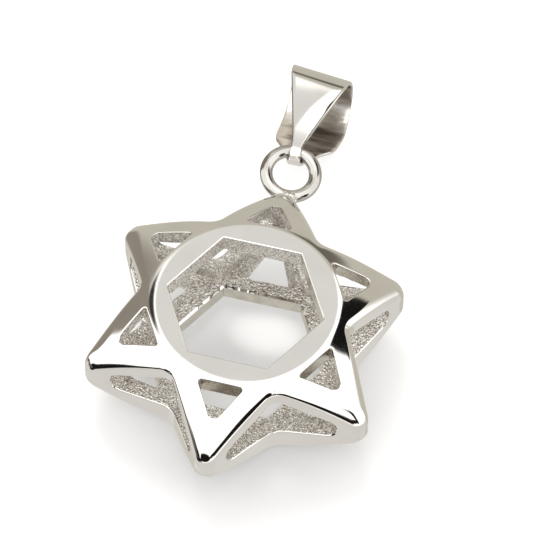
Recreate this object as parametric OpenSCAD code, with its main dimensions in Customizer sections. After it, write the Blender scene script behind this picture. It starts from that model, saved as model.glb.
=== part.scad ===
/* [Star] */
// Reach of each point from the centre, if its tip were sharp
point_reach = 11.4; // [11.2:0.05:12]
// How much of each sharp tip is rounded away
tip_cut = 0.4; // [0.2:0.05:0.8]
// Reach of the corners between the points
valley_reach = 6.95; // [6.6:0.05:7.6]
// Thickness at the middle
star_thick = 7.3; // [6.6:0.1:9]
// Radius of the domed front and back
dome_r = 18.7; // [16:0.1:30]
// Radius of the flat disc round the middle hole
disc_r = 6.1; // [5.6:0.1:6.6]
// Thickness of the side walls
side_wall = 1; // [0.6:0.05:1.4]
// Thickness of the domed front skin
front_skin = 1; // [0.7:0.05:1.1]
// Thickness of the domed back skin
back_skin = 1.1; // [0.7:0.05:1.2]
// Thickness of the flat disc at the front
front_plate = 1.4; // [1:0.05:1.7]
// Thickness of the flat disc at the back
back_plate = 1.3; // [1:0.05:1.7]

/* [Cut-outs] */
// Width of the hexagonal middle hole across its flats
hex_flats = 9.2; // [7.5:0.1:10]
// Distance from the centre to the base of each triangular hole
hole_base = 6.35; // [5.9:0.05:6.8]
// Half of a front triangular hole's base
hole_half_front = 1.6; // [0.9:0.05:1.8]
// Half of a back triangular hole's base
hole_half_back = 1.3; // [0.9:0.05:1.8]
// Reach of a triangular hole's blunt outer corner from the centre
hole_reach = 8.35; // [7.6:0.05:8.6]
// Height of the side windows' top edge at the corners between the points
window_top = 5.8; // [5.2:0.05:5.85]
// Height of the side windows' bottom edge at the same corners
window_bottom = 2.1; // [1.9:0.05:2.8]
// Distance from the corner to the centre of a window's round end
window_len = 3.4; // [2.4:0.1:3.6]
// Radius of a window's round end
window_end_r = 0.92; // [0.6:0.02:0.94]

/* [Jump ring] */
// Thickness of the ring's wire
ring_wire = 0.8; // [0.6:0.05:1]
// Inner diameter of the ring
ring_inner = 2.6; // [2.2:0.1:3.2]
// How far the wire is soldered into the top tip
ring_bite = 0.2; // [0.1:0.05:0.35]
// Rise of the ring away from the tip, in degrees
ring_rise = 9; // [0:1:20]
// Twist of the ring to one side, in degrees
ring_twist = 8; // [0:1:10]
// Radius of the solder bead that joins the ring to the tip
solder_r = 0.62; // [0.5:0.02:0.8]

/* [Bail] */
// Length between the centres of the bail's bend and fold
bail_len = 6.55; // [6:0.05:8.5]
// Thickness of the strap
strap_t = 0.4; // [0.3:0.05:0.6]
// Radius of the wide fold, to the middle of the strap
fold_r = 2.05; // [1.6:0.05:2.2]
// Half of the strap's width at the top of the fold
fold_half = 2.15; // [1.6:0.05:2.4]
// Half of the front leg's width where the fold starts
front_half = 1.93; // [1.4:0.05:2.1]
// Half of the back leg's width where the fold starts
back_half = 2.25; // [1.6:0.05:2.5]
// Half of the strap's width at the narrow bend
bend_half = 0.55; // [0.4:0.05:0.8]
// Clearance between the ring's wire and the inside of the bend
bend_gap = 0.12; // [0.1:0.02:0.3]
// Gap between the ring's wire and the front leg that hangs on it
hang_gap = 0.2; // [0.15:0.01:0.4]
// Distance that the wire lies up the bail from the centre of the bend
hang_shift = 0.8; // [0.7:0.05:1.6]

/* [Hidden] */
$fn = 96;
eps = 0.05;
end_steps = 6;

tip_reach = point_reach - tip_cut;

// A flank runs from a point at [0, point_reach] to the corner beside it
corner = valley_reach * [sin(30), cos(30)];
tip = [0, point_reach];
flank_len = norm(tip - corner);
flank_dir = (corner - tip) / flank_len;
tip_half_angle = atan2(flank_dir[0], -flank_dir[1]);
flank_offset = point_reach * sin(tip_half_angle);
cavity_scale = 1 - side_wall / flank_offset;

// Each dome is a sphere, cut flat where it reaches the disc's radius
dome_rise = sqrt(pow(dome_r, 2) - pow(disc_r, 2));
front_centre = star_thick - dome_rise;
back_centre = dome_rise;

ring_mid = (ring_inner + ring_wire) / 2;
ring_root = [0, tip_reach + ring_wire / 2 - ring_bite, star_thick / 2];
ring_centre = ring_root + ring_mid * [0, cos(ring_rise), sin(ring_rise)];
wire_far = ring_root + 2 * ring_mid * [0, cos(ring_rise), sin(ring_rise)];

// The bail hangs on the far wire and tips down until its fold reaches z = 0
bend_r = (ring_wire + strap_t) / 2 + bend_gap;
leg_angle = asin((fold_r - bend_r) / bail_len);
wire_up = (bend_r - strap_t / 2 + hang_shift * sin(leg_angle) - ring_wire / 2 - hang_gap) / cos(leg_angle);
drop_len = bail_len - hang_shift;
bail_drop = asin((wire_far[2] - fold_r - strap_t / 2) / norm([wire_up, drop_len])) - atan2(wire_up, drop_len);
bail_end = bail_len + fold_r + strap_t;

// The origin is the middle of the whole box's underside
fold_y = wire_far[1] + drop_len * cos(bail_drop) - wire_up * sin(bail_drop);
box_shift = [0, (tip_reach - fold_y - fold_r - strap_t / 2) / 2, 0];

// The back leg's shape: share of the leg's length, and share of its half width
BACK_SHAPE = [[0, 0.27], [0.16, 0.43], [0.36, 0.68], [0.47, 0.87], [0.6, 0.95], [1, 1]];

function turn(p, a) = [p[0] * cos(a) - p[1] * sin(a), p[0] * sin(a) + p[1] * cos(a)];

module star_outline() {
    intersection() {
        polygon([for (k = [0:5]) for (p = [corner, tip]) turn(p, 60 * k)]);
        circle(tip_reach);
    }
}

// What lies between the two domes, drawn in by a skin at the front and at the back
module between_domes(front, back) {
    intersection() {
        translate([0, 0, front_centre]) sphere(dome_r - front);
        translate([0, 0, back_centre]) sphere(dome_r - back);
        children();
    }
}

module star_body() {
    between_domes(0, 0) linear_extrude(star_thick) star_outline();
}

module cavity() {
    between_domes(front_skin, back_skin) translate([0, 0, back_plate])
        linear_extrude(star_thick - front_plate - back_plate) scale(cavity_scale) star_outline();
}

// A triangular hole whose sides follow the flanks
module hole_outline(half) {
    intersection() {
        polygon([[half, hole_base], [0, hole_base + half / tan(tip_half_angle)], [-half, hole_base]]);
        circle(hole_reach);
    }
}

module triangular_holes() {
    middle = star_thick / 2;
    for (k = [0:5]) rotate(60 * k) {
        translate([0, 0, middle]) linear_extrude(middle + eps) hole_outline(hole_half_front);
        translate([0, 0, -eps]) linear_extrude(middle + eps) hole_outline(hole_half_back);
    }
}

// Where a line from a point touches a circle at c, as an angle round the circle
function touch(point, c, r, side) =
    atan2(point[1] - c[1], point[0] - c[0]) - side * acos(r / norm(point - c));

// One window as seen square to its flank: two edges that run to a round end near the tip
module window_outline() {
    end = [window_len, star_thick / 2];
    from = touch([0, window_top], end, window_end_r, 1);
    sweep = touch([0, window_bottom], end, window_end_r, -1) - from;
    polygon(concat(
        [[-side_wall, window_bottom], [0, window_bottom]],
        [for (i = [end_steps:-1:0]) end + window_end_r * turn([1, 0], from + sweep * i / end_steps)],
        [[0, window_top], [-side_wall, window_top]]
    ));
}

// The outline cut through the wall, a little past each of its faces
module flank_window() {
    translate(corner) rotate(atan2(-flank_dir[1], -flank_dir[0])) rotate([90, 0, 0])
        linear_extrude(2 * (side_wall + eps), center = true) window_outline();
}

module side_windows() {
    for (k = [0:5]) rotate(60 * k) {
        flank_window();
        mirror([1, 0, 0]) flank_window();
    }
}

module jump_ring() {
    translate(ring_centre) rotate([ring_rise, ring_twist, 0])
        rotate_extrude() translate([ring_mid, 0]) circle(ring_wire / 2, $fn = 48);
}

module star() {
    color("gainsboro") translate(box_shift) {
        difference() {
            star_body();
            cavity();
            translate([0, 0, -eps]) cylinder(d = hex_flats / cos(30), h = star_thick + 2 * eps, $fn = 6);
            triangular_holes();
            side_windows();
        }
        jump_ring();
        translate([0, tip_reach - solder_r / 3, star_thick / 2]) sphere(solder_r, $fn = 48);
    }
}

// Two circles and the straight legs that touch them both
module belt(shift) {
    small = bend_r + shift;
    wide = fold_r + shift;
    side = [-sin(leg_angle), cos(leg_angle)];
    far = [bail_len, 0];
    circle(small);
    translate(far) circle(wide);
    polygon([small * side, far + wide * side, far + wide * [side[0], -side[1]], small * [side[0], -side[1]]]);
}

// Half of a leg's outline, given as [distance from the bend, half width] pairs
module leg_outline(half) {
    polygon(concat(half, [for (i = [len(half) - 1:-1:0]) [half[i][0], -half[i][1]]]));
}

// The half of the strap's loop on one side, cut to its leg's outline
module leg(side, half) {
    intersection() {
        linear_extrude(2 * bail_end, center = true) difference() {
            belt(strap_t / 2);
            belt(-strap_t / 2);
        }
        rotate([-90 * side, 0, 0]) linear_extrude(bail_end) leg_outline(half);
    }
}

module bail() {
    start = [-bend_r - strap_t, bend_half];
    finish = [bail_end, fold_half];
    front = [start, [0, bend_half], [bail_len, front_half], finish];
    back = concat([start], [for (s = BACK_SHAPE) [s[0] * bail_len, s[1] * back_half]], [finish]);
    color("silver")
        translate(box_shift + wire_far) rotate([-bail_drop, 0, 0]) rotate([90, 0, 90])
            translate([-hang_shift, -wire_up, 0]) {
                leg(1, front);
                leg(-1, back);
            }
}

star();
bail();
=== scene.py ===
"""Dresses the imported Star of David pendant: cast star, jump ring, strap bail, studio and camera."""

import logging
import math
from dataclasses import dataclass, field
from enum import Enum
from typing import Callable

import bmesh
import bpy
from bmesh.types import BMesh, BMFace
from bpy.types import Material, Node, NodeSocket, Object
from mathutils import Matrix, Vector, noise

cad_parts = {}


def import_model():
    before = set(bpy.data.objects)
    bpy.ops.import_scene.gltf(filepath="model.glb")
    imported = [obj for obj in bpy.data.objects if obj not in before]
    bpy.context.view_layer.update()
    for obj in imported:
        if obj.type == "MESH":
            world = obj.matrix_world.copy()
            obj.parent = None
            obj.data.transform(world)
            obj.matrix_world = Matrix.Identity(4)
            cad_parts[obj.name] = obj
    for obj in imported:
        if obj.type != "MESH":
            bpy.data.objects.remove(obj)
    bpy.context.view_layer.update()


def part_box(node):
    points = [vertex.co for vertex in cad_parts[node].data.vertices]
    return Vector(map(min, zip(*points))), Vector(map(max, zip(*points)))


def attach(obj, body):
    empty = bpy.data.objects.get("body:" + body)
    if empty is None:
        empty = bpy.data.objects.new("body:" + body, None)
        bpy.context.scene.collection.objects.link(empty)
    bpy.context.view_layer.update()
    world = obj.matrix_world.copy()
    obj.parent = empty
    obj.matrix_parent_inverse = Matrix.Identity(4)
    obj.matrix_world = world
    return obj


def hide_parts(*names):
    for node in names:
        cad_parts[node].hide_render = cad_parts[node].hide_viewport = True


MM = 0.001
MERGE = 2e-7
HAIR = 1e-6
TINY = 1e-9
SEED = 7
LOG = logging.getLogger("pendant")

Colour = tuple[float, float, float]
Place = Callable[[float, float], Vector]
Socket = NodeSocket

DARK: Colour = (0.01, 0.01, 0.01)

# From the star's middle, in millimetres: its lowest tip, the root of the ring and the bead of solder
LOWEST_TIP = 11.0
RING_ROOT = (-0.12, 11.2, 0.0)
BEAD_SPOT = (0.05, 11.0, 0.12)

# The indexes of the star's materials, and of the bail's second one
POLISHED, CAST, FILED = 0, 1, 2
SATIN = 1
# The steps along a hole's base, its rounded corner, its side and its tip, and up the edge of a wall
BASE_STEPS, CORNER_STEPS, SIDE_STEPS, TIP_STEPS, EDGE_STEPS = 14, 8, 26, 8, 10
# The steps along a window's straight edges and its round end
WINDOW_STEPS, WINDOW_END_STEPS = 24, 30
# The steps along a leg of the bail, round its narrow bend and round its fold
LEG_STEPS, BEND_STEPS, FOLD_STEPS = 36, 14, 22


class Side(Enum):
    """Which domed face of the star a sheet of metal belongs to."""

    FRONT = 1
    BACK = -1


class Skin(Enum):
    """Which surface of the hollow casting a sheet of metal is."""

    OUTER = 0
    INNER = 1


@dataclass(frozen=True)
class BothSides:
    """A measure that differs between the star's front and its back."""

    front: float
    back: float

    def of(self, side: Side) -> float:
        """Returns the measure on one side."""
        return self.front if side is Side.FRONT else self.back


def smooth(value: float) -> float:
    """Returns value eased from 0 to 1 with flat ends."""
    value = min(max(value, 0.0), 1.0)
    return value * value * (3 - 2 * value)


def soft_min(a: float, b: float, reach: float) -> float:
    """Returns the lower of two heights, blended where they are no further apart than the reach."""
    share = min(max(0.5 + 0.5 * (b - a) / reach, 0.0), 1.0)
    return b + (a - b) * share - reach * share * (1 - share)


def rolled(distance: float, radius: float) -> float:
    """Returns how far a rounded edge has dropped at a distance from it."""
    inwards = radius - min(distance, radius)
    return radius - math.sqrt(max(radius * radius - inwards**2, 0.0))


@dataclass(frozen=True)
class Leg:
    """One straight or round stretch of an outline, in millimetres."""

    start: Vector
    end: Vector
    count: int
    centre: Vector | None = None
    # Over 1, the stations of a straight stretch crowd towards its start
    bias: float = 1.0

    def at(self, share: float) -> Vector:
        """The point at a share of the stretch.

        Args:
            share: From 0 at the start to 1 at the end.

        Returns:
            The point.
        """
        if self.centre is None:
            return self.start.lerp(self.end, share**self.bias)
        a, b = self.start - self.centre, self.end - self.centre
        turn = a.angle_signed(b) * share
        return self.centre + Vector(
            (a.x * math.cos(turn) + a.y * math.sin(turn), a.y * math.cos(turn) - a.x * math.sin(turn))
        )


@dataclass
class Outline:
    """A chain of stretches, read by station: each stretch holds its own count of stations."""

    legs: list[Leg]

    @property
    def stations(self) -> int:
        """Returns the number of steps along the whole chain."""
        return sum(leg.count for leg in self.legs)

    def at(self, station: float) -> Vector:
        """The point at a station.

        Args:
            station: From 0 to the number of stations, in between points allowed.

        Returns:
            The point.
        """
        for leg in self.legs[:-1]:
            if station <= leg.count + HAIR:
                return leg.at(station / leg.count)
            station -= leg.count
        return self.legs[-1].at(min(station / self.legs[-1].count, 1.0))

    def distance(self, point: Vector, first: int = 0) -> float:
        """The distance from a point to the chain.

        Args:
            point: The point.
            first: The index of the first stretch that counts.

        Returns:
            The shortest distance.
        """
        best = math.inf
        for leg in self.legs[first:]:
            if leg.centre is not None:
                ray = point - leg.centre
                a, b = leg.start - leg.centre, leg.end - leg.centre
                whole, part = a.angle_signed(b), a.angle_signed(ray) if ray.length > TINY else 0.0
                if whole * part >= 0 and abs(part) <= abs(whole):
                    best = min(best, abs(ray.length - a.length))
                best = min(best, (point - leg.start).length, (point - leg.end).length)
                continue
            run = leg.end - leg.start
            share = min(max((point - leg.start).dot(run) / run.length_squared, 0.0), 1.0)
            best = min(best, (point - leg.start - run * share).length)
        return best


def lay_sheet(bm: BMesh, along: int, rows: list[float], place: Place, material: int) -> set[BMFace]:
    """Lays one sheet of metal: a flat grid whose points are then put in place.

    Args:
        bm: The mesh that it joins.
        along: The number of steps along the sheet.
        rows: The share across the sheet of each row, from 0 to 1.
        place: Gives the point, in millimetres, for a station and a share across.
        material: The index of the sheet's material.

    Returns:
        The sheet's faces.
    """
    across = len(rows) - 1
    verts = bmesh.ops.create_grid(bm, x_segments=along, y_segments=across, size=0.5)["verts"]
    for vert in verts:
        station = round((vert.co.x + 0.5) * along)
        row = rows[round((vert.co.y + 0.5) * across)]
        vert.co = place(station, row) * MM
    faces = {face for vert in verts for face in vert.link_faces}
    for face in faces:
        face.material_index = material
    return faces


def spin(bm: BMesh, angle: float, steps: int, closed: bool) -> None:
    """Turns a mesh round the Z axis.

    Args:
        bm: The mesh.
        angle: The whole turn, in radians.
        steps: The number of steps.
        closed: Whether it sweeps one closed skin, and doesn't lay copies.
    """
    geometry = bm.verts[:] + bm.edges[:] + bm.faces[:]
    spot, axis = Vector((0, 0, 0)), Vector((0, 0, 1))
    turn = {"cent": spot, "dvec": spot, "axis": axis, "angle": angle, "steps": steps}
    bmesh.ops.spin(bm, geom=geometry, **turn, use_merge=closed, use_duplicate=not closed)
    bmesh.ops.remove_doubles(bm, verts=bm.verts, dist=MERGE)


def finish_piece(name: str, bm: BMesh, materials: list[Material], sharp: float) -> Object:
    """Turns a built mesh into a finished piece at the origin.

    Args:
        name: The piece's name.
        bm: The built mesh, which is freed.
        materials: Its materials, by index.
        sharp: The angle, in degrees, over which an edge is drawn sharp.

    Returns:
        The piece.
    """
    for face in bm.faces:
        face.smooth = True
    bmesh.ops.recalc_face_normals(bm, faces=bm.faces)
    mesh = bpy.data.meshes.new(name)
    bm.to_mesh(mesh)
    bm.free()
    for material in materials:
        mesh.materials.append(material)
    mesh.set_sharp_from_angle(angle=math.radians(sharp))
    piece = bpy.data.objects.new(name, mesh)
    bpy.context.scene.collection.objects.link(piece)
    LOG.info("%s: %d faces", name, len(mesh.polygons))
    return piece


class NodeTree:
    """A short way to build nodes."""

    def __init__(self, tree: bpy.types.NodeTree) -> None:
        """Takes the tree to build in."""
        self.tree = tree

    def add(self, kind: str, **values: object) -> Node:
        """Adds a node.

        Args:
            kind: The node's type, without its ShaderNode prefix.
            values: Its properties, or its inputs by name with _ for a space.

        Returns:
            The node.
        """
        node = self.tree.nodes.new("ShaderNode" + kind)
        for key, value in values.items():
            if hasattr(node, key):
                setattr(node, key, value)
            else:
                node.inputs[key.replace("_", " ")].default_value = value
        return node

    def link(self, source: Socket, target: Socket) -> None:
        """Joins two sockets."""
        self.tree.links.new(source, target)

    def calc(self, kind: str, *values: Socket | float) -> Socket:
        """Adds a sum.

        Args:
            kind: The operation.
            values: Sockets or numbers.

        Returns:
            The result.
        """
        node = self.add("Math", operation=kind)
        for slot, value in zip(node.inputs, values):
            if isinstance(value, Socket):
                self.link(value, slot)
            else:
                slot.default_value = value
        return node.outputs[0]

    def spread(
        self, source: Socket, low: float, high: float, a: float, b: float, ease: str = "LINEAR"
    ) -> Socket:
        """Maps a value's band onto another.

        Args:
            source: The value.
            low: Where its band starts.
            high: Where its band ends.
            a: What the start becomes.
            b: What the end becomes.
            ease: How it goes from one to the other.

        Returns:
            The mapped value.
        """
        node = self.add("MapRange", interpolation_type=ease, From_Min=low, From_Max=high, To_Min=a, To_Max=b)
        self.link(source, node.inputs["Value"])
        return node.outputs["Result"]


class MaterialTree(NodeTree):
    """A short way to build a material's nodes."""

    def __init__(self, name: str, metallic: float = 1.0) -> None:
        """Starts a material with one Principled shader.

        Args:
            name: The material's name.
            metallic: 1 for metal, and 0 for anything else.
        """
        self.material = bpy.data.materials.new(name)
        self.material.use_nodes = True
        super().__init__(self.material.node_tree)
        self.shader = self.tree.nodes["Principled BSDF"]
        self.shader.inputs["Metallic"].default_value = metallic
        self.place = self.add("TexCoord").outputs["Object"]

    def noise(
        self, scale: float, detail: float, roughness: float = 0.5, place: Socket | None = None
    ) -> Socket:
        """Adds a noise that sits on the object.

        Args:
            scale: The noise's scale, in repeats a metre.
            detail: Its detail.
            roughness: Its roughness.
            place: Where it is read, if not straight on the object.

        Returns:
            The noise's value.
        """
        node = self.add("TexNoise", Scale=scale, Detail=detail, Roughness=roughness)
        self.link(place or self.place, node.inputs["Vector"])
        return node.outputs["Fac"]

    def paint(self, source: Socket, low: float, dark: Colour, high: float, light: Colour) -> None:
        """Colours the shader by a value.

        Args:
            source: The value.
            low: The value that gets the dark colour.
            dark: The dark colour.
            high: The value that gets the light colour.
            light: The light colour.
        """
        node = self.add("ValToRGB")
        for element, place, colour in zip(node.color_ramp.elements, (low, high), (dark, light)):
            element.position = place
            element.color = (*colour, 1.0)
        self.link(source, node.inputs["Fac"])
        self.link(node.outputs["Color"], self.shader.inputs["Base Color"])

    def dull(self, source: Socket, a: float, b: float) -> None:
        """Spreads the shader's roughness from a to b by a noise."""
        self.link(self.spread(source, 0.3, 0.7, a, b), self.shader.inputs["Roughness"])

    def bump(self, *heights: tuple[Socket, float, float]) -> None:
        """Chains bumps into the shader's normal.

        Args:
            heights: Each height, with its strength and its distance in metres.
        """
        normal: Socket | None = None
        for source, strength, distance in heights:
            node = self.add("Bump", Strength=strength, Distance=distance)
            self.link(source, node.inputs["Height"])
            if normal is not None:
                self.link(normal, node.inputs["Normal"])
            normal = node.outputs["Normal"]
        self.link(normal, self.shader.inputs["Normal"])


@dataclass(frozen=True)
class PolishedSilver:
    """Rhodium-bright metal with the faint waves and hairlines that a buffing wheel leaves."""

    name: str = "polished silver"
    light: Colour = (0.72, 0.70, 0.665)
    dark: Colour = (0.69, 0.668, 0.635)
    gloss: float = 0.045
    wave: float = 0.1

    def build(self) -> Material:
        """Returns the material."""
        tree = MaterialTree(self.name)
        cloud, wave, hair = tree.noise(420.0, 3.0), tree.noise(260.0, 1.0), tree.noise(9000.0, 2.0)
        tree.paint(cloud, 0.35, self.dark, 0.65, self.light)
        tree.dull(cloud, self.gloss, self.gloss * 1.9)
        tree.bump((wave, self.wave, 0.00012), (hair, 0.05, 0.000004))
        return tree.material


@dataclass(frozen=True)
class SatinSilver:
    """The inside of the strap, drawn and bent but never buffed: soft bands across a dull shine."""

    name: str = "satin silver"
    light: Colour = (0.78, 0.735, 0.68)
    dark: Colour = (0.24, 0.215, 0.19)
    gloss: float = 0.27
    # Where along Y, in metres, the painted shade towards the ring is darkest
    low: float = 0.0

    def build(self) -> Material:
        """Returns the material, with painted light to the left of the bail and painted shade towards its
        ring.
        """
        tree = MaterialTree(self.name)
        stretch = tree.add("Mapping", Scale=(0.35, 1.0, 1.0))
        tree.link(tree.place, stretch.inputs["Vector"])
        band, hair = tree.noise(1100.0, 2.0, 0.5, stretch.outputs["Vector"]), tree.noise(7000.0, 2.0)
        parts = tree.add("SeparateXYZ")
        tree.link(tree.place, parts.inputs["Vector"])
        # Painted light to the left of the bail and painted shade towards the ring, added to the real bands
        left = tree.spread(parts.outputs["X"], -0.0019, -0.0007, 0.32, 0.0)
        up = tree.spread(parts.outputs["Y"], self.low, self.low + 0.006, -0.16, 0.0)
        total = tree.calc("ADD", tree.calc("ADD", left, up), band)
        tree.paint(total, 0.36, self.dark, 0.6, self.light)
        tree.dull(band, self.gloss * 1.5, self.gloss)
        tree.bump((band, 0.6, 0.0002), (hair, 0.15, 0.00001))
        return tree.material


@dataclass(frozen=True)
class FiledSilver:
    """The edges of the holes, filed smooth by hand and left a little dull."""

    name: str = "filed silver"
    light: Colour = (0.58, 0.545, 0.485)
    dark: Colour = (0.46, 0.43, 0.375)
    gloss: float = 0.16

    def build(self) -> Material:
        """Returns the material."""
        tree = MaterialTree(self.name)
        cloud, fine = tree.noise(900.0, 3.0), tree.noise(6000.0, 2.0)
        tree.paint(cloud, 0.35, self.dark, 0.65, self.light)
        tree.dull(fine, self.gloss, self.gloss * 1.6)
        tree.bump((cloud, 0.25, 0.00015), (fine, 0.12, 0.00001))
        return tree.material


@dataclass(frozen=True)
class CastSilver:
    """The matte, grainy metal that a casting keeps where no wheel reaches."""

    name: str = "cast silver"
    light: Colour = (0.95, 0.915, 0.87)
    dark: Colour = (0.42, 0.39, 0.35)
    grain: float = 0.75
    rough: float = 0.36

    def build(self) -> Material:
        """Returns the material."""
        tree = MaterialTree(self.name)
        cloud, fine = tree.noise(1500.0, 3.0, 0.6), tree.noise(8000.0, 2.0, 0.6)
        pits = tree.add("TexVoronoi", Scale=7000.0)
        tree.link(tree.place, pits.inputs["Vector"])
        mix = tree.calc("MULTIPLY_ADD", cloud, 0.25, tree.spread(fine, 0.3, 0.7, 0.0, 0.75))
        tree.paint(mix, 0.3, self.dark, 0.7, self.light)
        tree.dull(fine, self.rough * 0.7, self.rough * 1.4)
        pit = pits.outputs["Distance"]
        tree.bump((cloud, 0.35, 0.0001), (pit, self.grain, 0.00008), (fine, self.grain, 0.00004))
        return tree.material


@dataclass(frozen=True)
class TableTop:
    """A plain white table with a faint paper tooth, which glows softly by itself and glows less under the
    star, as a painted shadow.
    """

    middle: float
    name: str = "table top"
    colour: Colour = (0.27, 0.266, 0.26)
    glow: Colour = (1.0, 0.998, 0.988)
    # The glow's strength in the painted shadow under the star, and around it
    under: float = 0.35
    around: float = 0.76
    # The painted shadow under the star, where the glow dims: its middle in millimetres, and in metres where
    # it starts and ends to fade
    shadow_spot: tuple[float, float] = (1.0, -2.5)
    shadow_fade: tuple[float, float] = (0.003, 0.0162)

    def build(self) -> Material:
        """Returns the material, whose glow dims under the star as a painted shadow."""
        tree = MaterialTree(self.name, 0.0)
        inputs = tree.shader.inputs
        inputs["Roughness"].default_value = 0.6
        inputs["Specular IOR Level"].default_value = 0.2
        inputs["Base Color"].default_value = (*self.colour, 1.0)
        inputs["Emission Color"].default_value = (*self.glow, 1.0)
        away = tree.add("VectorMath", operation="DISTANCE")
        away.inputs[1].default_value = (self.shadow_spot[0] * MM, (self.middle + self.shadow_spot[1]) * MM, 0.0)
        tree.link(tree.place, away.inputs[0])
        # The glow dims towards the spot under the star: a painted shadow
        power = tree.spread(away.outputs["Value"], *self.shadow_fade, self.under, self.around, "SMOOTHSTEP")
        tree.link(power, inputs["Emission Strength"])
        tree.bump((tree.noise(3000.0, 2.0), 0.02, 0.00002))
        return tree.material


@dataclass
class CastStar:
    """The hollow star: domed and pierced front and back, walls with a window round each inner corner."""

    middle: float
    points: int = 6
    point_reach: float = 11.7
    tip_round: float = 0.85
    valley_reach: float = 6.95
    valley_round: float = 1.3
    valley_fade: float = 1.6
    bias: float = 1.35
    thick: float = 7.3
    dome_r: float = 18.7
    disc_r: float = 6.1
    inner_disc: float = 5.6
    inner_start: float = 5.2
    crease: float = 0.13
    wall: float = 1.0
    skin_thick: BothSides = BothSides(1.0, 1.1)
    plate: BothSides = BothSides(1.4, 1.3)
    hex_apothem: float = 4.6
    # The triangular holes: their base's distance from the middle, half their width and their rounded corners
    hole_base: BothSides = BothSides(6.35, 6.22)
    hole_half: BothSides = BothSides(1.6, 1.38)
    hole_corner: float = 0.16
    hole_tip: float = 0.5
    window_top: float = 5.8
    window_bottom: float = 2.1
    window_len: float = 3.4
    window_end: float = 0.92
    # The rounding of the outer edges at the valleys and at the tips, and how far from a tip it is widest
    roll_valley: BothSides = BothSides(0.42, 0.2)
    roll_tip: BothSides = BothSides(0.92, 0.4)
    roll_end: float = 1.2
    ridge: float = 0.9
    rim_roll: float = 0.08
    # The ragged lip at the back of the middle hole: its size, its waves a millimetre, their share, its zone
    lip: float = 0.12
    lip_waves: float = 2.6
    lip_share: float = 0.5
    lip_start: float = 0.02
    lip_end: float = 5.9
    # The unevenness of the cast metal, and its coarse and fine waves a millimetre
    ragged: float = 0.035
    grain: tuple[float, float] = (1.9, 5.3)
    # Where the front's and the back's skin start, as a height and the height over which they fade in
    front_zone: tuple[float, float] = (5.9, 0.6)
    back_zone: tuple[float, float] = (1.9, 0.8)
    # The filed stretches of the middle hole's front edge and of the triangular holes, in degrees from +X
    filed_middle: tuple[float, float] = (0.0, 60.0)
    filed_holes: tuple[float, float] = (-120.0, 60.0)
    # The uneven back holes: the point's turn in degrees, and how much the inside of its hole grows
    reshaped: tuple[tuple[float, float], ...] = ((0.0, 0.5), (-120.0, -0.35))
    reshape_middle: float = 7.15
    reshape_reach: float = 0.9
    reshape_rows: tuple[float, float] = (5.0, 9.4)
    reshape_levels: tuple[float, float] = (0.05, 1.7)
    # The width of half a point's own sector, as a share of its length
    sector: float = 0.577

    def __post_init__(self) -> None:
        """Works out the points that every sheet shares."""
        self.pitch = 360 / self.points
        self.turn = math.radians(self.pitch / 2)
        sine, cosine = math.sin(self.turn), math.cos(self.turn)
        self.corner = Vector((self.valley_reach * sine, self.valley_reach * cosine))
        self.along = (self.corner - Vector((0.0, self.point_reach))).normalized()
        self.half_angle = math.atan2(self.along.x, -self.along.y)
        self.flank_gap = self.point_reach * math.sin(self.half_angle)
        self.shrink = 1 - self.wall / self.flank_gap
        self.rise = math.sqrt(self.dome_r**2 - self.disc_r**2)
        hex_corner = Vector((self.hex_apothem * math.tan(self.turn), self.hex_apothem))
        self.hex_edge = Outline([Leg(Vector((0.0, self.hex_apothem)), hex_corner, BASE_STEPS)])
        self.flank = Outline(self._flank_legs(1.0))
        straight, tip = self.flank.legs
        self.straight_len = (straight.end - straight.start).length
        self.tip_len = abs((tip.start - tip.centre).angle_signed(tip.end - tip.centre)) * self.tip_round

    def _size(self, skin: Skin) -> float:
        """Returns the share that a surface's outline is shrunk to."""
        return 1.0 if skin is Skin.OUTER else self.shrink

    def _flank_legs(self, size: float) -> list[Leg]:
        """The half outline from an inner corner to the tip.

        Args:
            size: The share that the outline is shrunk to.

        Returns:
            The straight flank and the round tip.
        """
        centre = Vector((0.0, self.point_reach - self.tip_round / math.sin(self.half_angle)))
        meet = Vector((0.0, self.point_reach)) + self.along * (self.tip_round / math.tan(self.half_angle))
        end = centre + Vector((0.0, self.tip_round))
        return [
            Leg(self.corner * size, meet * size, SIDE_STEPS, None, self.bias),
            Leg(meet * size, end * size, TIP_STEPS, centre * size),
        ]

    def _hole(self, side: Side) -> Outline:
        """The half outline of a triangular hole, from the middle of its base to its outer corner.

        Args:
            side: The face that it pierces.

        Returns:
            The outline.
        """
        half, foot = self.hole_half.of(side), self.hole_base.of(side)
        slope = self.half_angle
        base = Vector((half, foot))
        tip = Vector((0.0, foot + half / math.tan(slope)))
        reach = self.hole_corner / math.tan((math.pi / 2 - slope) / 2)
        first = Vector((half - reach, foot))
        second = base + (tip - base).normalized() * reach
        centre = Vector((half - reach, foot + self.hole_corner))
        far = Vector((0.0, tip.y - self.hole_tip / math.sin(slope)))
        meet = tip + (base - tip).normalized() * (self.hole_tip / math.tan(slope))
        return Outline(
            [
                Leg(Vector((0.0, foot)), first, BASE_STEPS),
                Leg(first, second, CORNER_STEPS, centre),
                Leg(second, meet, SIDE_STEPS),
                Leg(meet, far + Vector((0.0, self.hole_tip)), TIP_STEPS, far),
            ]
        )

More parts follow.
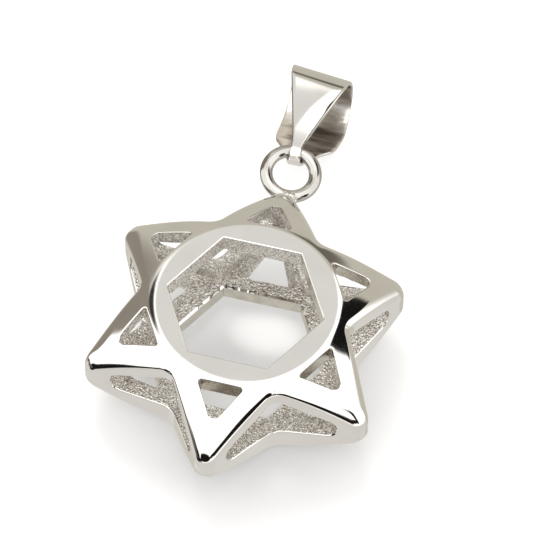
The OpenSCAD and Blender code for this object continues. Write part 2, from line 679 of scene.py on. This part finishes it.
    def _arm(self, skin: Skin) -> Outline:
        """The half outline that lies round a triangular hole: disc edge, corner line, flank and tip.

        Args:
            skin: The outer or the inner surface.

        Returns:
            The outline, with a station for each of the hole's.
        """
        outer = skin is Skin.OUTER
        disc, start = (self.disc_r, self.disc_r) if outer else (self.inner_disc, self.inner_start)
        edge = Vector((disc * math.sin(self.turn), disc * math.cos(self.turn)))
        base = Leg(Vector((0.0, start)), edge, BASE_STEPS, Vector((0.0, 0.0)) if outer else None)
        size = self._size(skin)
        return Outline([base, Leg(edge, self.corner * size, CORNER_STEPS), *self._flank_legs(size)])

    def beside(self, spot: tuple[float, float, float]) -> Vector:
        """Returns a place that is given from the star's own middle."""
        return Vector((spot[0], self.middle + spot[1], self.thick / 2 + spot[2]))

    def height(self, side: Side, skin: Skin, radius: float) -> float:
        """The height of a domed face over the table.

        Args:
            side: Front or back.
            skin: The outer or the inner surface.
            radius: The distance from the middle.

        Returns:
            The height.
        """
        ball, flat = self.dome_r, 0.0
        if skin is Skin.INNER:
            ball, flat = ball - self.skin_thick.of(side), -self.plate.of(side)
        level = soft_min(flat, math.sqrt(ball**2 - radius**2) - self.rise, self.crease)
        return self.thick + level if side is Side.FRONT else -level

    def roll(self, side: Side, radius: float) -> float:
        """The radius of the rounded outer edge, wider towards the tips.

        Args:
            side: Front or back.
            radius: The distance from the middle.

        Returns:
            The rounding's radius.
        """
        share = smooth((radius - self.valley_reach) / (self.point_reach - self.roll_end - self.valley_reach))
        valley, tip = self.roll_valley.of(side), self.roll_tip.of(side)
        return valley + (tip - valley) * share

    def edge_gap(self, arm: Outline, flat: Vector) -> float:
        """Returns the distance from a place to the outer edge, softened along the ridge of a point."""
        near, far = (arm.distance(Vector((side * flat.x, flat.y)), 2) for side in (1, -1))
        return soft_min(near, far, max(self.ridge * min(near, far), HAIR))

    def _lay_skin(self, bm: BMesh, side: Side, skin: Skin) -> None:
        """Lays half a point's face: the arm round its hole, and its share of the middle disc.

        Args:
            bm: The mesh that it joins.
            side: Front or back.
            skin: The outer or the inner surface.
        """
        hole, arm, edge = self._hole(side), self._arm(skin), self.hex_edge
        outer, lipped = skin is Skin.OUTER, skin is Skin.INNER and side is Side.BACK

        def arm_point(station: float, row: float) -> Vector:
            flat = hole.at(station).lerp(arm.at(station), row)
            z = self.height(side, skin, flat.length)
            if outer:
                drop = rolled(self.edge_gap(arm, flat), self.roll(side, flat.length))
                z -= side.value * (drop + rolled(hole.distance(flat), self.rim_roll))
            return Vector((flat.x, flat.y, z))

        def disc_point(station: float, row: float) -> Vector:
            start = edge.at(station)
            if lipped:
                start = start * self._lip_size(start)
            flat = start.lerp(arm.at(station), row)
            z = self.height(side, skin, flat.length)
            if outer:
                z -= side.value * rolled(edge.distance(flat), self.rim_roll)
            return Vector((flat.x, flat.y, z))

        if outer:
            arm_rows = [0, 0.008, 0.025, 0.05, 0.08, 0.14, 0.2, 0.27, 0.34, 0.41, 0.48, 0.55, 0.61]
            arm_rows += [0.67, 0.72, 0.77, 0.82, 0.86, 0.895, 0.925, 0.95, 0.97, 0.984, 0.994, 1]
            disc_rows = [0, 0.007, 0.02, 0.045, 0.075, 0.14, 0.26, 0.4, 0.54, 0.68, 0.8, 0.88, 0.94, 1]
        else:
            arm_rows = [0, 0.1, 0.22, 0.36, 0.5, 0.64, 0.78, 0.9, 1]
            disc_rows = [0, 0.12, 0.3, 0.5, 0.7, 0.88, 1]
        lay_sheet(bm, arm.stations, arm_rows, arm_point, POLISHED if outer else CAST)
        lay_sheet(bm, BASE_STEPS, disc_rows, disc_point, POLISHED if outer else CAST)

    def _lip_size(self, flat: Vector) -> float:
        """Returns the factor by which the ragged lip round the back of the middle hole grows its outline."""
        wave = noise.noise(Vector((flat.x, flat.y, 0.0)) * self.lip_waves)
        return 1 + self.lip * (1 + self.lip_share * wave) / self.hex_apothem

    def _window(self) -> Outline:
        """The half outline of a window, as length along the flank and height, from its lower corner up.

        Returns:
            The outline, with a station for each of the wall's.
        """
        end = Vector((self.window_len, self.thick / 2))

        def touch(height: float, side: float) -> float:
            ray = Vector((0.0, height)) - end
            return math.atan2(ray.y, ray.x) - side * math.acos(self.window_end / ray.length)

        low, high = touch(self.window_bottom, -1), touch(self.window_top, 1)
        first = end + self.window_end * Vector((math.cos(low), math.sin(low)))
        second = end + self.window_end * Vector((math.cos(high), math.sin(high)))
        return Outline(
            [
                Leg(Vector((0.0, self.window_bottom)), first, WINDOW_STEPS),
                Leg(first, second, WINDOW_END_STEPS, end),
                Leg(second, Vector((0.0, self.window_top)), WINDOW_STEPS),
            ]
        )

    def _wall_edge(self, skin: Skin) -> Callable[[float], tuple[float, float]]:
        """Gives the wall's own edge: back edge to the tip, up the tip, and the front edge back.

        Args:
            skin: The outer or the inner surface.

        Returns:
            A function from a station to the station along the flank and the height there.
        """
        flank, size = self.flank, self._size(skin)
        count, up = flank.stations, EDGE_STEPS

        def level(side: Side, along: float) -> float:
            radius = (flank.at(along) * size).length
            roll = self.roll(side, radius) if skin is Skin.OUTER else 0.0
            return self.height(side, skin, radius) - side.value * roll

        def edge(station: float) -> tuple[float, float]:
            if station <= count:
                return station, level(Side.BACK, station)
            if station < count + up:
                low, high = level(Side.BACK, count), level(Side.FRONT, count)
                return count, low + (high - low) * (station - count) / up
            along = 2 * count + up - station
            return along, level(Side.FRONT, along)

        return edge

    def _lay_wall(self, bm: BMesh, skin: Skin) -> None:
        """Lays half a point's side wall, round its window.

        Args:
            bm: The mesh that it joins.
            skin: The outer or the inner surface.
        """
        window, edge = self._window(), self._wall_edge(skin)
        flank = Outline(self._flank_legs(self._size(skin)))

        def wall_point(station: float, row: float) -> Vector:
            spot = window.at(station)
            along, height = edge(station)
            if skin is Skin.INNER:
                there = flank.at(along)
                return self._window_point(spot, skin).lerp(Vector((there.x, there.y, height)), row)
            flat = spot.lerp(Vector((self._length(along), height)), row)
            drop = rolled(window.distance(flat), self.rim_roll)
            base = self._at_length(flat.x) * (1 - drop / self.flank_gap)
            return Vector((base.x, base.y, flat.y))

        if skin is Skin.OUTER:
            rows = [0, 0.01, 0.03, 0.06, 0.1, 0.18, 0.3, 0.45, 0.6, 0.75, 0.88, 1]
        else:
            rows = [0, 0.15, 0.35, 0.6, 0.82, 1]
        lay_sheet(bm, window.stations, rows, wall_point, POLISHED if skin is Skin.OUTER else CAST)

    def _length(self, along: float) -> float:
        """The length along the flank at one of its stations.

        Args:
            along: The station.

        Returns:
            The length from the inner corner.
        """
        straight, tip = self.flank.legs
        if along <= straight.count:
            return self.straight_len * (along / straight.count) ** self.bias
        return self.straight_len + self.tip_len * (along - straight.count) / tip.count

    def _at_length(self, length: float) -> Vector:
        """The point of the flank at a length from the inner corner.

        Args:
            length: The length.

        Returns:
            The point.
        """
        straight, tip = self.flank.legs
        if length <= self.straight_len:
            return straight.start.lerp(straight.end, length / self.straight_len)
        return tip.at(min((length - self.straight_len) / self.tip_len, 1.0))

    def _window_point(self, spot: Vector, skin: Skin) -> Vector:
        """Where a point of the window's outline lies in the wall.

        Args:
            spot: Length along the flank, and height.
            skin: The outer or the inner surface.

        Returns:
            The point.
        """
        size = 1 - self.rim_roll / self.flank_gap if skin is Skin.OUTER else self.shrink
        straight = self.flank.legs[0]
        run = (straight.end - straight.start).normalized()
        far = self.window_len + self.window_end
        extra = self.corner.length * (1 - size) * abs(run.dot(self.corner.normalized()))
        base = straight.start * size + run * spot.x * (far + extra) / far
        return Vector((base.x, base.y, spot.y))

    def _lay_rims(self, bm: BMesh) -> None:
        """Lays the edges of every hole in half a point, between the outer and the inner surface.

        Args:
            bm: The mesh that they join.
        """
        steps = [0, 0.12, 0.3, 0.5, 0.7, 0.88, 1]
        window = self._window()

        def window_rim(station: float, row: float) -> Vector:
            spot = window.at(station)
            return self._window_point(spot, Skin.OUTER).lerp(self._window_point(spot, Skin.INNER), row)

        for side in Side:
            self._lay_rim(bm, self._hole(side), side, steps, False)
            self._lay_rim(bm, self.hex_edge, side, [*steps[:-1], 0.96, 1], side is Side.BACK)
        lay_sheet(bm, window.stations, steps, window_rim, CAST)

    def _lay_rim(self, bm: BMesh, line: Outline, side: Side, steps: list[float], lipped: bool) -> None:
        """Lays the edge of one hole in a face.

        Args:
            bm: The mesh that it joins.
            line: The hole's half outline.
            side: The face that it pierces.
            steps: The rows, from the outer surface inwards.
            lipped: Whether it ends in the ragged lip.
        """

        def point(station: float, row: float) -> Vector:
            flat = line.at(station)
            top = self.height(side, Skin.OUTER, flat.length) - side.value * self.rim_roll
            low = self.height(side, Skin.INNER, flat.length)
            if lipped and row == 1:
                flat = flat * self._lip_size(flat)
            elif lipped:
                row *= 1 - self.lip / (low - top)
            return Vector((flat.x, flat.y, top + (low - top) * row))

        faces = lay_sheet(bm, line.stations, steps, point, FILED)
        for face in faces if lipped else ():
            centre = face.calc_center_median() / MM
            on_lip = centre.z > self.plate.of(side) - self.lip
            if on_lip and centre.y > self.hex_apothem + self.lip_start:
                face.material_index = POLISHED

    def build(self, materials: list[Material]) -> Object:
        """Builds the casting from half a point, mirrored and turned round the middle.

        Args:
            materials: Polished metal, cast metal, and the filed metal of the holes' edges.

        Returns:
            The finished piece.
        """
        bm = bmesh.new()
        for skin in Skin:
            for side in Side:
                self._lay_skin(bm, side, skin)
            self._lay_wall(bm, skin)
        self._lay_rims(bm)
        bmesh.ops.remove_doubles(bm, verts=bm.verts, dist=MERGE)
        geometry = bm.verts[:] + bm.edges[:] + bm.faces[:]
        bmesh.ops.mirror(bm, geom=geometry, matrix=Matrix.Identity(4), merge_dist=MERGE, axis="X")
        spin(bm, 2 * math.pi / self.points * (self.points - 1), self.points - 1, closed=False)
        self._round_valleys(bm)
        self._grade(bm)
        self._reshape(bm)
        self._roughen(bm)
        bmesh.ops.translate(bm, verts=bm.verts, vec=Vector((0, self.middle * MM, 0)))
        piece = finish_piece("cast_star", bm, materials, sharp=34)
        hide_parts("star")
        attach(piece, "root")
        return piece

    def _round_valleys(self, bm: BMesh) -> None:
        """Fills each sharp valley between two points with a round one.

        Args:
            bm: The casting.
        """
        slope = self.turn + self.half_angle
        reach = self.valley_round / math.tan(slope)
        fill = self.valley_round * (1 / math.sin(slope) - 1)
        for vert in bm.verts:
            spot, level = vert.co.xy / MM, vert.co.z / MM
            angle = math.degrees(math.atan2(spot.x, spot.y)) - self.pitch / 2
            nearest = math.radians((round(angle / self.pitch) * self.pitch + self.pitch / 2) % 360)
            out = Vector((math.sin(nearest), math.cos(nearest)))
            aside = abs(spot.x * out.y - spot.y * out.x)
            along = aside / math.sin(slope)
            if along >= reach:
                continue
            depth = self.valley_reach + aside / math.tan(slope) - spot.dot(out)
            share = smooth(1 - max(depth, 0.0) / self.valley_fade)
            shift = out * fill * (1 - along / reach) ** 2 * share
            radii = (spot + shift).length, spot.length
            high, low = (self.height(Side.FRONT, Skin.OUTER, radius) for radius in radii)
            front = smooth((level - self.front_zone[0]) / self.front_zone[1])
            back = smooth((self.back_zone[0] - level) / self.back_zone[1])
            vert.co += Vector((shift.x, shift.y, (high - low) * (front - back))) * MM

    def _grade(self, bm: BMesh) -> None:
        """Leaves some of the holes' edges as cast: the file didn't reach all of them.

        Args:
            bm: The casting.
        """
        for face in bm.faces:
            if face.material_index != FILED:
                continue
            centre = face.calc_center_median() / MM
            angle = math.degrees(math.atan2(centre.y, centre.x))
            front = centre.z > self.thick / 2
            middle = centre.xy.length < self.inner_disc
            low, high = self.filed_middle if middle else self.filed_holes
            filed = low < angle < high if front else middle
            face.material_index = FILED if filed else CAST

    def _reshape(self, bm: BMesh) -> None:
        """Widens the inside of the top point's back hole, and draws in the lower right point's.

        Args:
            bm: The casting.
        """
        hole, centre = self._hole(Side.BACK), Vector((0.0, self.reshape_middle))
        (low, high), (first, last) = self.reshape_levels, self.reshape_rows
        for degrees, amount in self.reshaped:
            turn = Matrix.Rotation(math.radians(degrees), 2)
            for vert in bm.verts:
                level, flat = vert.co.z / MM, turn.inverted() @ (vert.co.xy / MM)
                if abs(flat.x) > flat.y * self.sector or not (low < level < high and first < flat.y < last):
                    continue
                near = max(1 - hole.distance(Vector((abs(flat.x), flat.y))) / self.reshape_reach, 0.0)
                shift = turn @ ((flat - centre) * amount * near * level)
                vert.co += Vector((shift.x, shift.y, 0.0)) * MM

    def _roughen(self, bm: BMesh) -> None:
        """Makes the untouched inside uneven, and leaves the polished outside alone.

        Args:
            bm: The casting.
        """
        for vert in bm.verts:
            kinds = {face.material_index for face in vert.link_faces}
            on_lip = vert.co.xy.length < self.lip_end * MM and vert.co.z < self.thick / 2 * MM
            if CAST in kinds and (POLISHED not in kinds or on_lip):
                coarse, fine = (noise.noise_vector(vert.co / MM * waves) for waves in self.grain)
                vert.co += (coarse * self.ragged + fine * self.ragged * 0.5) * MM


@dataclass
class JumpRing:
    """The round wire ring, soldered into the top point."""

    seat: Vector
    wire: float = 0.88
    inner: float = 2.46
    rise: float = 9.0
    twist: float = 8.0
    wire_steps: int = 32
    ring_steps: int = 112

    @property
    def mid(self) -> float:
        """Returns the radius to the middle of the wire."""
        return (self.inner + self.wire) / 2

    @property
    def far_wire(self) -> Vector:
        """Returns the middle of the wire where the bail hangs."""
        lean = math.radians(self.rise)
        return self.seat + 2 * self.mid * Vector((0, math.cos(lean), math.sin(lean)))

    def build(self, materials: list[Material]) -> Object:
        """Spins the wire round the ring's middle.

        Args:
            materials: The metal.

        Returns:
            The finished piece.
        """
        bm = bmesh.new()
        bmesh.ops.create_circle(bm, segments=self.wire_steps, radius=self.wire / 2 * MM, cap_ends=False)
        bmesh.ops.rotate(bm, verts=bm.verts, matrix=Matrix.Rotation(math.pi / 2, 3, "X"))
        bmesh.ops.translate(bm, verts=bm.verts, vec=Vector((self.mid * MM, 0, 0)))
        spin(bm, 2 * math.pi, self.ring_steps, closed=True)
        lean, twist = math.radians(self.rise), math.radians(self.twist)
        pose = Matrix.Rotation(twist, 3, "Y") @ Matrix.Rotation(lean, 3, "X")
        bmesh.ops.transform(bm, matrix=pose.to_4x4(), verts=bm.verts)
        centre = (self.seat + self.far_wire) / 2
        bmesh.ops.translate(bm, verts=bm.verts, vec=centre * MM)
        piece = finish_piece("jump_ring", bm, materials, sharp=60)
        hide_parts("star")
        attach(piece, "root")
        return piece


@dataclass
class SolderBead:
    """The lump of solder that joins the ring to the point."""

    centre: Vector
    spread: Vector = field(default_factory=lambda: Vector((0.74, 0.42, 0.5)))
    shrink: float = 0.94
    unevenness: float = 1.6
    # The lumps' waves over the ball and their sizes
    lumps: tuple[tuple[float, float], ...] = ((2.1, 0.1), (6.0, 0.05))

    def build(self, materials: list[Material]) -> Object:
        """Makes a ball uneven, as solder sets.

        Args:
            materials: The metal.

        Returns:
            The finished piece.
        """
        bm = bmesh.new()
        bmesh.ops.create_icosphere(bm, subdivisions=5, radius=1.0)
        for vert in bm.verts:
            ray = vert.co.normalized()
            lump = sum(noise.noise(ray * waves) * size for waves, size in self.lumps)
            flat = Vector(part * size for part, size in zip(ray, self.spread))
            vert.co = (self.centre + flat * (self.shrink + self.unevenness * lump)) * MM
        piece = finish_piece("solder_bead", bm, materials, sharp=80)
        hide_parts("star")
        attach(piece, "root")
        return piece


@dataclass
class StrapBail:
    """The folded strap: narrow where it bends round the ring, wide where it folds over the chain."""

    wire: Vector
    wire_size: float = 0.88
    length: float = 5.8
    strap: float = 0.3
    fold_r: float = 2.1
    fold_half: float = 2.15
    front_half: float = 1.93
    back_half: float = 2.25
    bend_half: float = 0.4
    bend_gap: float = 0.12
    hang_gap: float = 0.12
    hang_shift: float = 0.05
    slant: float = 0.045
    # The rounding of the strap's edges, and how steeply they leave its flat faces
    round: float = 0.13
    steep: float = 3.0
    facet: float = 0.156
    facet_ease: float = 0.3
    facet_end: float = 6.0
    facet_fade: float = 2.8
    # The filed facet's left edge: its place at the bend, its slope and its curve
    facet_line: tuple[float, float, float] = (-1.2, 0.3, 0.04)
    # The front leg's half width a little past the bend, as a distance and a half width
    front_neck: tuple[float, float] = (1.0, 0.62)
    back_shape: tuple[tuple[float, float], ...] = (
        (0, 0.27), (0.16, 0.43), (0.36, 0.68), (0.47, 0.87), (0.6, 0.95), (1, 1),
    )
    # The section's points, and the stations over which the width is eased and the strap's direction is read
    around: int = 64
    ease_steps: int = 3
    ease_gap: float = 0.7
    probe: float = 0.05
    # A face is on the inside, which is satin, where it looks this much away from the outside
    inside: float = -0.6

    def __post_init__(self) -> None:
        """Works out how the strap hangs on the ring and rests on the table."""
        self.bend_r = (self.wire_size + self.strap) / 2 + self.bend_gap
        self.leg_angle = math.asin((self.fold_r - self.bend_r) / self.length)
        inside = self.bend_r - self.strap / 2 + self.hang_shift * math.sin(self.leg_angle)
        self.wire_up = (inside - self.wire_size / 2 - self.hang_gap) / math.cos(self.leg_angle)
        drop = self.length - self.hang_shift
        low = (self.wire.z - self.fold_r - self.strap / 2) / math.hypot(self.wire_up, drop)
        self.lean = math.asin(low) - math.atan2(self.wire_up, drop)
        self.apex = self.length + self.fold_r + self.strap / 2

    def _belt(self) -> Outline:
        """The middle line of the strap, as a closed chain from the bend's end over the front leg and back.

        Returns:
            The chain.
        """
        up = Vector((-math.sin(self.leg_angle), math.cos(self.leg_angle)))
        down = Vector((up.x, -up.y))
        near, far = Vector((0.0, 0.0)), Vector((self.length, 0.0))
        start = near - Vector((self.bend_r, 0.0))
        apex = far + Vector((self.fold_r, 0.0))
        return Outline(
            [
                Leg(start, near + up * self.bend_r, BEND_STEPS, near),
                Leg(near + up * self.bend_r, far + up * self.fold_r, LEG_STEPS),
                Leg(far + up * self.fold_r, apex, FOLD_STEPS, far),
                Leg(apex, far + down * self.fold_r, FOLD_STEPS, far),
                Leg(far + down * self.fold_r, near + down * self.bend_r, LEG_STEPS),
                Leg(near + down * self.bend_r, start, BEND_STEPS, near),
            ]
        )

    def _half_width(self, along: float, front: bool) -> float:
        """Half of the strap's width.

        Args:
            along: The distance from the bend's centre.
            front: Whether it is on the front leg.

        Returns:
            The half width.
        """
        knots = [(-self.bend_r, self.bend_half)]
        if front:
            knots += [(0.0, self.bend_half), self.front_neck, (self.length, self.front_half)]
        else:
            knots += [(share * self.length, width * self.back_half) for share, width in self.back_shape]
        knots.append((self.apex, self.fold_half))
        for (a, low), (b, high) in zip(knots, knots[1:]):
            if along <= b:
                share = min(max((along - a) / (b - a), 0.0), 1.0)
                return low + (high - low) * share
        return knots[-1][1]

    def build(self, materials: list[Material]) -> Object:
        """Sweeps the strap's rounded section along its closed line.

        Args:
            materials: The metal.

        Returns:
            The finished piece.
        """
        belt = self._belt()
        count = belt.stations
        lean = Matrix.Rotation(-self.lean, 3, "X")
        offset = Vector((0.0, -self.hang_shift, -self.wire_up))

        def width(station: float) -> float:
            total, weight = 0.0, 0.0
            for step in range(-self.ease_steps, self.ease_steps + 1):
                spot = (station + step * self.ease_gap) % count
                share = 1.0 / (1 + abs(step))
                total += self._half_width(belt.at(spot).x, spot < count / 2) * share
                weight += share
            return total / weight

        section = self._section()

        def point(station: float, row: float) -> Vector:
            here = belt.at(station % count)
            ahead, behind = (belt.at((station + side * self.probe) % count) for side in (1, -1))
            run = (ahead - behind).normalized()
            out = Vector((-run.y, run.x))
            across, lift = section(row, width(station % count))
            if lift > 0 and station % count < count / 2:
                lift -= self._facet_drop(here.x, across)
            flat = here + out * lift
            place = lean @ (Vector((across, flat.x, flat.y)) + offset) + self.wire
            place.z *= 1 - self.slant * across * smooth(here.x / self.length)
            return place

        bm = bmesh.new()
        lay_sheet(bm, count, [step / self.around for step in range(self.around + 1)], point, POLISHED)
        bmesh.ops.remove_doubles(bm, verts=bm.verts, dist=MERGE)
        bmesh.ops.recalc_face_normals(bm, faces=bm.faces)
        for face in bm.faces:
            spot = lean.inverted() @ (face.calc_center_median() / MM - self.wire) - offset
            outward = Vector((0.0, spot.y - min(max(spot.y, 0.0), self.length), spot.z)).normalized()
            if (lean.inverted() @ face.normal).dot(outward) < self.inside:
                face.material_index = SATIN
        piece = finish_piece("strap_bail", bm, materials, sharp=50)
        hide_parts("bail")
        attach(piece, "root")
        return piece

    def _facet_drop(self, along: float, across: float) -> float:
        """How far the front leg's right side is filed down, along a slanting line.

        Args:
            along: The distance from the bend's centre.
            across: The place across the strap.

        Returns:
            The drop.
        """
        start, slope, curve = self.facet_line
        past, ease = across - (start + slope * along + curve * along * along), self.facet_ease
        if past <= -ease:
            return 0.0
        ramp = past if past >= ease else (past + ease) ** 2 / (4 * ease)
        return self.facet * ramp * smooth((self.facet_end - along) / self.facet_fade)

    def _section(self) -> Callable[[float, float], tuple[float, float]]:
        """Gives the strap's section: flat faces and rounded edges.

        Returns:
            A function from a share of the way round, and a half width, to the place across and the lift.
        """
        half = self.strap / 2

        def section(row: float, width: float) -> tuple[float, float]:
            quarter = (row * 4) % 4
            side, share = int(quarter) % 4, quarter - int(quarter)
            flat = width - self.round
            tall = half - self.round
            if side == 0:
                return -flat + 2 * flat * share, half
            if side == 2:
                return flat - 2 * flat * share, -half
            sign = 1 if side == 1 else -1
            turn = math.pi * share
            bulge = math.cos(turn)
            part = (1 if bulge > 0 else -1) * min(1.0, abs(bulge) * self.steep)
            lift = sign * (tall * part + self.round * bulge)
            return sign * (flat + self.round * math.sin(turn)), lift

        return section


@dataclass(frozen=True)
class TentPanel:
    """One soft-edged panel of the light tent, placed by the compass from +Y and by height, in degrees."""

    turn: float
    height: float
    half_wide: float
    half_high: float
    blur: float
    colour: Colour


@dataclass(frozen=True)
class LightTent:
    """The tent that the metal mirrors: a bright roof, a warm back, a dim left side and a dark front gap."""

    roof: Colour = (1.8, 1.8, 1.79)
    # How square a panel's corners are: 2 is round
    square: float = 2.6
    panels: tuple[TentPanel, ...] = (
        TentPanel(0, 90, 999, 12, 0.2, (3.2, 3.2, 3.18)),
        TentPanel(0, -90, 999, 74, 0.06, (0.88, 0.868, 0.84)),
        TentPanel(-2, -20, 68, 66, 0.13, (0.69, 0.665, 0.585)),
        TentPanel(-7, 57, 22, 21, 0.2, (0.95, 0.95, 0.93)),
        TentPanel(8, 25, 11, 5, 0.3, (0.2, 0.18, 0.15)),
        TentPanel(20, 44, 7, 8, 0.25, (1.9, 1.9, 1.88)),
        TentPanel(-64, 3, 15, 46, 0.07, (0.36, 0.325, 0.28)),
        TentPanel(-54, 0, 13, 44, 0.35, (0.36, 0.325, 0.28)),
        TentPanel(-47, 50, 11, 9, 0.3, (0.05, 0.045, 0.04)),
        TentPanel(45, 41, 16, 15, 0.08, DARK),
        TentPanel(122, 13, 12, 22, 0.12, DARK),
        TentPanel(142, 2, 12, 8, 0.14, DARK),
        TentPanel(174, -2, 24, 11, 0.14, (0.012, 0.011, 0.01)),
        TentPanel(185, 2, 19, 14, 0.14, (0.012, 0.011, 0.01)),
        TentPanel(204, -14, 12, 8, 0.14, DARK),
        TentPanel(228, -15, 19, 16, 0.12, DARK),
        TentPanel(251, -17, 26, 6, 0.14, (0.14, 0.13, 0.12)),
    )

    def build(self) -> None:
        """Builds the world from the roof and every panel over it."""
        world = bpy.data.worlds.new("light_tent")
        world.use_nodes = True
        tree = NodeTree(world.node_tree)
        back = world.node_tree.nodes["Background"]
        back.inputs["Strength"].default_value = 1.0
        ray = tree.add("TexCoord").outputs["Generated"]
        last: Socket | None = None
        for panel in self.panels:
            mix = tree.add("Mix", data_type="RGBA")
            mix.inputs[6].default_value = (*self.roof, 1.0)
            mix.inputs[7].default_value = (*panel.colour, 1.0)
            tree.link(self._share(tree, ray, panel), mix.inputs[0])
            if last is not None:
                tree.link(last, mix.inputs[6])
            last = mix.outputs[2]
        tree.link(last, back.inputs["Color"])
        bpy.context.scene.world = world

    def _share(self, tree: NodeTree, ray: Socket, panel: TentPanel) -> Socket:
        """How much of a panel a direction shows.

        Args:
            tree: The world's nodes.
            ray: The direction.
            panel: The panel.

        Returns:
            The share, from 0 outside to 1 inside.
        """
        turned = tree.add("VectorRotate", rotation_type="Z_AXIS", Angle=math.radians(panel.turn))
        tree.link(ray, turned.inputs["Vector"])
        parts = tree.add("SeparateXYZ")
        tree.link(turned.outputs[0], parts.inputs[0])
        side = tree.calc("ARCTAN2", parts.outputs[0], parts.outputs[1])
        lift = tree.calc("SUBTRACT", tree.calc("ARCSINE", parts.outputs[2]), math.radians(panel.height))
        shares = []
        for away, half in ((side, panel.half_wide), (lift, panel.half_high)):
            share = tree.calc("ABSOLUTE", tree.calc("DIVIDE", away, math.radians(half)))
            shares.append(tree.calc("POWER", share, self.square))
        blur = panel.blur * self.square
        return tree.spread(tree.calc("ADD", *shares), 1 + blur, max(1 - blur, 0.0), 0.0, 1.0, "SMOOTHSTEP")


@dataclass
class Studio:
    """Table, sky, lights and camera."""

    middle: float
    # The camera: its place from the star's middle in millimetres, its direction, roll in degrees and lens
    stand: tuple[float, float, float] = (43.55, -170.75, 282.0)
    aim: tuple[float, float, float] = (-0.1308, 0.5301, -0.8378)
    roll: float = 0.506
    focal: float = 336.0

    def camera(self) -> None:
        """Stands the camera at the photograph's angle."""
        place = Vector((self.stand[0], self.middle + self.stand[1], self.stand[2]))
        aim = Vector(self.aim).normalized()
        roll = math.radians(self.roll)
        level = aim.cross(Vector((0, 0, 1))).normalized()
        rise = level.cross(aim).normalized()
        right = level * math.cos(roll) + rise * math.sin(roll)
        up = right.cross(aim).normalized()
        data = bpy.data.cameras.new("camera")
        data.lens = self.focal
        data.sensor_width = 36.0
        data.clip_start = 0.01
        data.clip_end = 10.0
        camera = bpy.data.objects.new("camera", data)
        pose = Matrix((right, up, -aim)).transposed().to_4x4()
        pose.translation = place * MM
        camera.matrix_world = pose
        bpy.context.scene.collection.objects.link(camera)
        bpy.context.scene.camera = camera

    def table(self) -> None:
        """Lays the table under the pendant."""
        bm = bmesh.new()
        bmesh.ops.create_grid(bm, x_segments=1, y_segments=1, size=1.2)
        table = finish_piece("table_top", bm, [TableTop(self.middle).build()], sharp=30)
        table.visible_glossy = False

    def _hang(self, name: str, kind: str, power: float) -> Object:
        """Makes a light that is neither seen nor mirrored.

        Args:
            name: The light's name.
            kind: The type of the light.
            power: Its power, in watts.

        Returns:
            The light.
        """
        data = bpy.data.lights.new(name, kind)
        data.energy = power
        lamp = bpy.data.objects.new(name, data)
        lamp.visible_camera = False
        lamp.visible_glossy = False
        bpy.context.scene.collection.objects.link(lamp)
        return lamp

    def back_light(self) -> None:
        """Hangs a square soft light behind the pendant, which faces it."""
        lamp = self._hang("back_light", "AREA", 2.4)
        turn, height, away = math.radians(-24), math.radians(50), 0.6
        flat = math.cos(height)
        place = Vector((math.sin(turn) * flat, math.cos(turn) * flat, math.sin(height))) * away
        lamp.data.size = 0.24
        lamp.location = place
        lamp.rotation_euler = (-place).to_track_quat("-Z", "Y").to_euler()

    def glow(self) -> None:
        """Hangs a narrow lamp over the middle hole, for the pool of light on the table inside it."""
        lamp = self._hang("middle_glow", "SPOT", 0.08)
        lamp.data.spot_size = math.radians(6.2)
        lamp.data.spot_blend = 1.0
        lamp.data.shadow_soft_size = 0.0005
        lamp.location = Vector((1.0, self.middle + 2.4, 40.0)) * MM
        lamp.scale = (1.5, 1.0, 1.0)

    def build(self) -> None:
        """Sets up everything round the pendant."""
        self.camera()
        self.table()
        LightTent().build()
        self.back_light()
        self.glow()
        bpy.context.scene.view_settings.view_transform = "Standard"


def main() -> None:
    """Builds every piece in order and reports it."""
    logging.basicConfig(level=logging.INFO, format="%(name)s %(message)s")
    noise.seed_set(SEED)
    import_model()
    low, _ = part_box("star")
    middle = low.y / MM + LOWEST_TIP
    Studio(middle).build()
    polished = PolishedSilver().build()
    cast = CastSilver().build()
    star = CastStar(middle)
    star.build([polished, cast, FiledSilver().build()])
    ring = JumpRing(star.beside(RING_ROOT))
    # The ring's silver is a darker copy of the polished silver: painted shade that tones down its
    # reflections
    ring.build([PolishedSilver("ring silver", (0.52, 0.5, 0.47), (0.42, 0.4, 0.37), 0.09, 0.4).build()])
    SolderBead(star.beside(BEAD_SPOT)).build([cast])
    # The satin's painted shade is darkest at the ring's far wire
    satin = SatinSilver(low=ring.far_wire.y * MM)
    StrapBail(ring.far_wire).build([polished, satin.build()])


if __name__ == "__main__":
    main()
